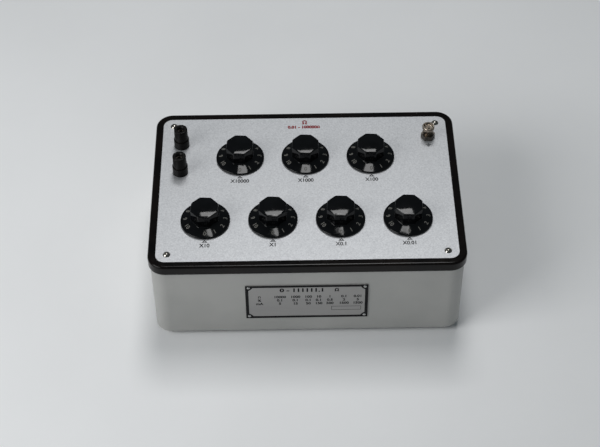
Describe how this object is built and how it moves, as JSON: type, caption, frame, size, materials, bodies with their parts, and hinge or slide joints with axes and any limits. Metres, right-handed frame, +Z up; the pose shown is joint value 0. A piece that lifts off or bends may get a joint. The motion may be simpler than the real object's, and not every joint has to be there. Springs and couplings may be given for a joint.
{
  "type": "decade resistance box",
  "caption": "Bench decade resistance box: panel-up case with rows of stepped rotary dials, two screw-cap binding posts and an earth terminal with a thumb nut.",
  "frame": {"origin": "under the middle of the box, on the surface the feet stand on", "axes": "+X to the right along the dial rows, +Y to the back, +Z up out of the panel"},
  "size_m": [0.31, 0.211, 0.131],
  "materials": {
    "case_grey": "satin light grey moulded shell",
    "bezel_black": "polished black",
    "panel_silver": "fine matt silver, printed",
    "knob_black": "polished black phenolic",
    "post_black": "semi-gloss black",
    "nickel": "worn nickel plate",
    "dark_nickel": "dulled nickel plate",
    "nameplate": "thin satin plate",
    "rubber": "matt black",
    "steel": "zinc plated",
    "brass": "turned",
    "bronze": "spring bronze",
    "board": "brown phenolic board",
    "winding": "varnished resistance wire",
    "copper": "bare copper"
  },
  "bodies": {
    "box": {"case": "case_grey", "bezel": "bezel_black", "panel": "panel_silver", "panel_screws": "nickel", "nameplate": "nameplate", "nameplate_rivets": "steel", "rubber_feet": "rubber", "foot_screws": "steel", "deck_x10000": "board", "deck_x1000": "board", "deck_x100": "board", "deck_x10": "board", "deck_x1": "board", "deck_x0_1": "board", "deck_x0_01": "board", "switch_bushings": "brass", "bushing_nuts": "steel", "index_plates": "steel", "detent_springs": "bronze", "deck_pillars": "brass", "deck_screws": "steel", "contact_studs": "brass", "collector_rings": "brass", "resistor_bobbins": "winding", "link_wires": "copper", "post_collars": "post_black", "post_bushes": "post_black", "post_studs": "dark_nickel", "post_nuts": "brass", "solder_tags": "steel", "earth_stud": "nickel", "earth_base_nut": "dark_nickel", "earth_lock_nut": "steel"},
    "dial_x10000": {"knob_x10000": "knob_black", "shaft_x10000": "steel", "brush_x10000": "bronze"},
    "dial_x1000": {"knob_x1000": "knob_black", "shaft_x1000": "steel", "brush_x1000": "bronze"},
    "dial_x100": {"knob_x100": "knob_black", "shaft_x100": "steel", "brush_x100": "bronze"},
    "dial_x10": {"knob_x10": "knob_black", "shaft_x10": "steel", "brush_x10": "bronze"},
    "dial_x1": {"knob_x1": "knob_black", "shaft_x1": "steel", "brush_x1": "bronze"},
    "dial_x0_1": {"knob_x0_1": "knob_black", "shaft_x0_1": "steel", "brush_x0_1": "bronze"},
    "dial_x0_01": {"knob_x0_01": "knob_black", "shaft_x0_01": "steel", "brush_x0_01": "bronze"},
    "post_rear_washer": {"post_washer_rear": "dark_nickel"},
    "post_rear_cap": {"post_cap_rear": "post_black"},
    "post_front_washer": {"post_washer_front": "dark_nickel"},
    "post_front_cap": {"post_cap_front": "post_black"},
    "earth_washer": {"earth_washer": "nickel"},
    "earth_cap": {"earth_thumb_nut": "nickel"}
  },
  "joints": [
    {"name": "dial_x10000_turn", "type": "hinge", "parent": "box", "child": "dial_x10000", "pos_m": [-0.0667, 0.0402, 0.1075], "axis": [0, 0, 1], "range_deg": [-300, 0], "deforming": ["detent_springs"]},
    {"name": "dial_x1000_turn", "type": "hinge", "parent": "box", "child": "dial_x1000", "pos_m": [0, 0.0402, 0.1075], "axis": [0, 0, 1], "range_deg": [-300, 0], "deforming": ["detent_springs"]},
    {"name": "dial_x100_turn", "type": "hinge", "parent": "box", "child": "dial_x100", "pos_m": [0.0667, 0.0402, 0.1075], "axis": [0, 0, 1], "range_deg": [-300, 0], "deforming": ["detent_springs"]},
    {"name": "dial_x10_turn", "type": "hinge", "parent": "box", "child": "dial_x10", "pos_m": [-0.10005, -0.0454, 0.1075], "axis": [0, 0, 1], "range_deg": [-300, 0], "deforming": ["detent_springs"]},
    {"name": "dial_x1_turn", "type": "hinge", "parent": "box", "child": "dial_x1", "pos_m": [-0.03335, -0.0454, 0.1075], "axis": [0, 0, 1], "range_deg": [-300, 0], "deforming": ["detent_springs"]},
    {"name": "dial_x0_1_turn", "type": "hinge", "parent": "box", "child": "dial_x0_1", "pos_m": [0.03335, -0.0454, 0.1075], "axis": [0, 0, 1], "range_deg": [-300, 0], "deforming": ["detent_springs"]},
    {"name": "dial_x0_01_turn", "type": "hinge", "parent": "box", "child": "dial_x0_01", "pos_m": [0.10005, -0.0454, 0.1075], "axis": [0, 0, 1], "range_deg": [-300, 0], "deforming": ["detent_springs"]},
    {"name": "post_rear_lift", "type": "slide", "parent": "box", "child": "post_rear_washer", "axis": [0, 0, 1], "range_m": [0, 0.004]},
    {"name": "post_rear_turn", "type": "hinge", "parent": "post_rear_washer", "child": "post_rear_cap", "pos_m": [-0.1272, 0.0604, 0.1075], "axis": [0, 0, 1], "range_deg": [0, 1440]},
    {"name": "post_front_lift", "type": "slide", "parent": "box", "child": "post_front_washer", "axis": [0, 0, 1], "range_m": [0, 0.004]},
    {"name": "post_front_turn", "type": "hinge", "parent": "post_front_washer", "child": "post_front_cap", "pos_m": [-0.1272, 0.0222, 0.1075], "axis": [0, 0, 1], "range_deg": [0, 1440]},
    {"name": "earth_lift", "type": "slide", "parent": "box", "child": "earth_washer", "axis": [0, 0, 1], "range_m": [0, 0.0032]},
    {"name": "earth_turn", "type": "hinge", "parent": "earth_washer", "child": "earth_cap", "pos_m": [0.1275, 0.0676, 0.1075], "axis": [0, 0, 1], "range_deg": [0, 1440]}
  ],
  "couplings": [
    {"joint": "post_rear_turn", "follows": "post_rear_lift", "rad_per_m": 6283.2},
    {"joint": "post_front_turn", "follows": "post_front_lift", "rad_per_m": 6283.2},
    {"joint": "earth_turn", "follows": "earth_lift", "rad_per_m": 7854}
  ]
}
